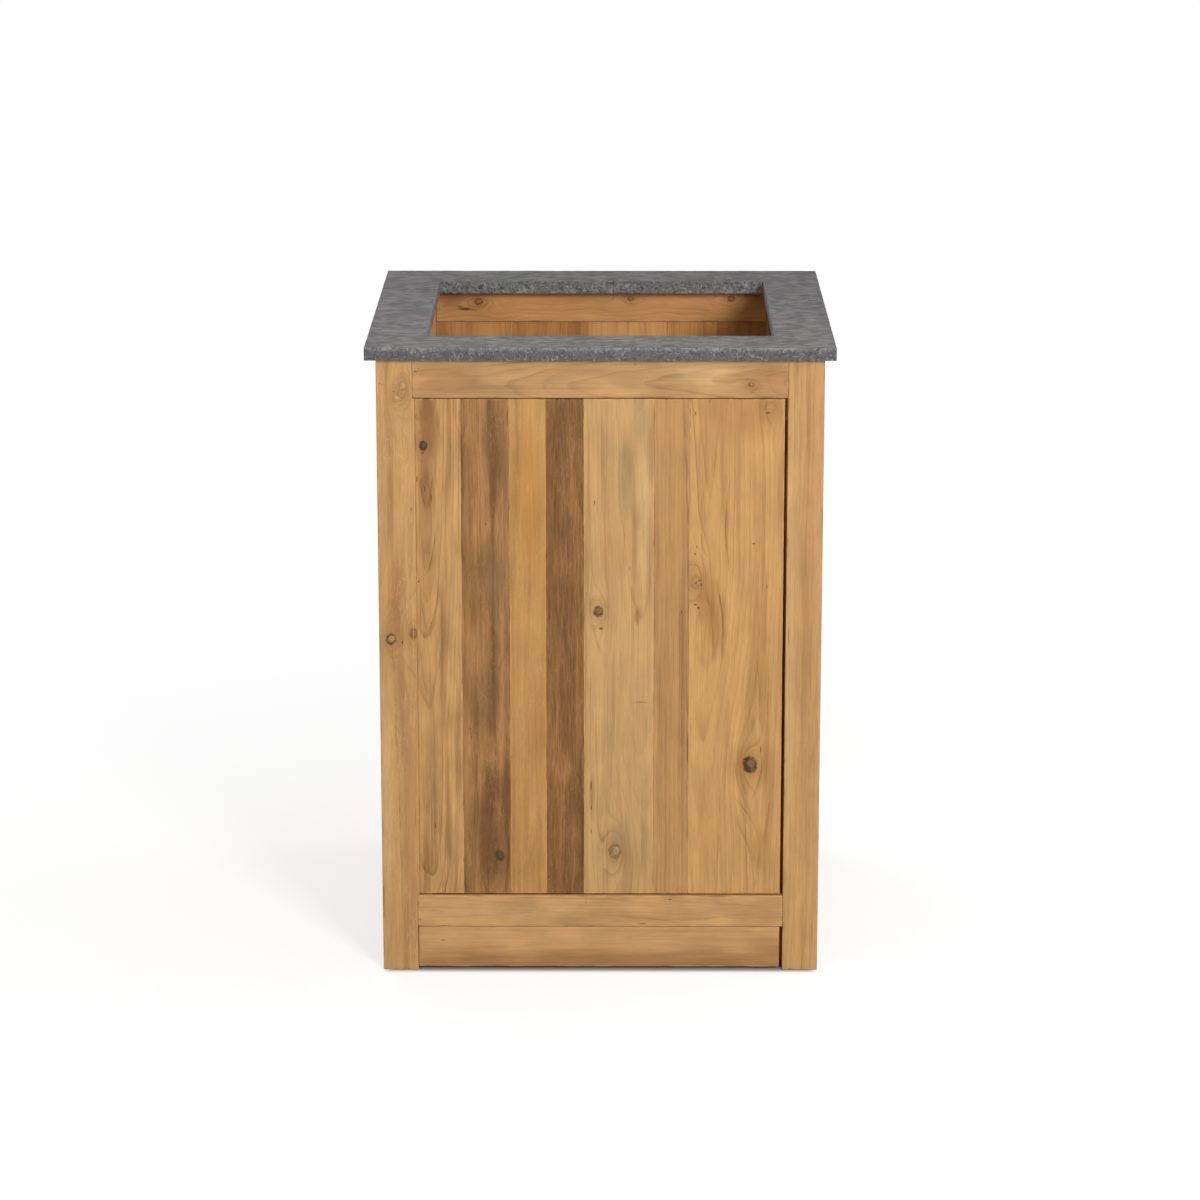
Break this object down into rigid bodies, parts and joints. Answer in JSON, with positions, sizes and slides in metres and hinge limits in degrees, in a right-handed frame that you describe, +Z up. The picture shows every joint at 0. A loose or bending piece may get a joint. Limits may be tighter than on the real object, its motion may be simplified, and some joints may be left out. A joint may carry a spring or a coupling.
{
  "type": "kitchen base cabinet",
  "caption": "Reclaimed-pine kitchen base cabinet with corner posts, an inset plank door on pivot hinges, a toe board and a stone worktop with a rectangular cut-out.",
  "frame": {"origin": "on the floor, under the middle of the worktop", "axes": "+X to the right seen from the front, +Y to the back, +Z up; the door faces -Y"},
  "size_m": [0.645, 0.62, 0.9],
  "materials": {
    "stone": "honed grey stone, matt, worn edges",
    "bedding_mortar": "dry mortar",
    "pine_frame": "waxed reclaimed pine",
    "pine_honey": "waxed reclaimed pine, honey",
    "pine_dark": "waxed reclaimed pine, dark brown",
    "pine_pale": "waxed reclaimed pine, pale tan",
    "pine_panel": "waxed reclaimed pine",
    "pine_inside": "bare sawn pine",
    "screw_steel": "dull zinc-plated steel",
    "pivot_brass": "aged brass",
    "latch_plastic": "brown moulded plastic",
    "latch_steel": "bright zinc"
  },
  "bodies": {
    "cabinet": {"stone_top": "stone", "bedding_dabs": "bedding_mortar", "front_left_post": "pine_frame", "front_right_post": "pine_frame", "rear_left_post": "pine_frame", "rear_right_post": "pine_frame", "front_top_rail": "pine_frame", "front_bottom_rail": "pine_frame", "rear_top_rail": "pine_frame", "rear_bottom_rail": "pine_frame", "left_top_rail": "pine_frame", "left_bottom_rail": "pine_frame", "right_top_rail": "pine_frame", "right_bottom_rail": "pine_frame", "back_board_1": "pine_panel", "back_board_2": "pine_panel", "back_board_3": "pine_panel", "back_board_4": "pine_panel", "back_board_5": "pine_panel", "left_board_1": "pine_panel", "left_board_2": "pine_panel", "left_board_3": "pine_panel", "left_board_4": "pine_panel", "right_board_1": "pine_panel", "right_board_2": "pine_panel", "right_board_3": "pine_panel", "right_board_4": "pine_panel", "floor_board_1": "pine_inside", "floor_board_2": "pine_inside", "floor_board_3": "pine_inside", "floor_board_4": "pine_inside", "left_floor_cleat": "pine_inside", "right_floor_cleat": "pine_inside", "toe_board": "pine_frame", "toe_blocks": "pine_inside", "door_stop": "pine_inside", "carcass_screws": "screw_steel", "lower_pivot_frame_plate": "pivot_brass", "upper_pivot_frame_plate": "pivot_brass", "pivot_washer": "pivot_brass", "frame_hardware_screws": "screw_steel", "latch_holder": "latch_plastic", "latch_housing": "latch_plastic", "latch_spring": "latch_steel"},
    "door": {"door_board_1": "pine_honey", "door_board_2": "pine_dark", "door_board_3": "pine_honey", "door_board_4": "pine_dark", "door_board_5": "pine_pale", "door_board_6": "pine_pale", "door_board_7": "pine_honey", "lower_door_batten": "pine_inside", "upper_door_batten": "pine_inside", "door_screws": "screw_steel", "lower_pivot_door_plate": "pivot_brass", "upper_pivot_door_plate": "pivot_brass", "door_hardware_screws": "screw_steel", "strike_plate": "latch_steel"},
    "plunger": {"latch_plunger": "latch_steel", "latch_magnet": "latch_steel"}
  },
  "joints": [
    {"name": "door_swing", "type": "hinge", "parent": "cabinet", "child": "door", "pos_m": [-0.241, -0.284, 0.469], "axis": [0, 0, -1], "range_deg": [0, 110]},
    {"name": "latch_press", "type": "slide", "parent": "cabinet", "child": "plunger", "axis": [0, 1, 0], "range_m": [0, 0.003], "stiffness_N_per_m": 300, "springref_m": -0.004, "deforming": ["latch_spring"]}
  ]
}
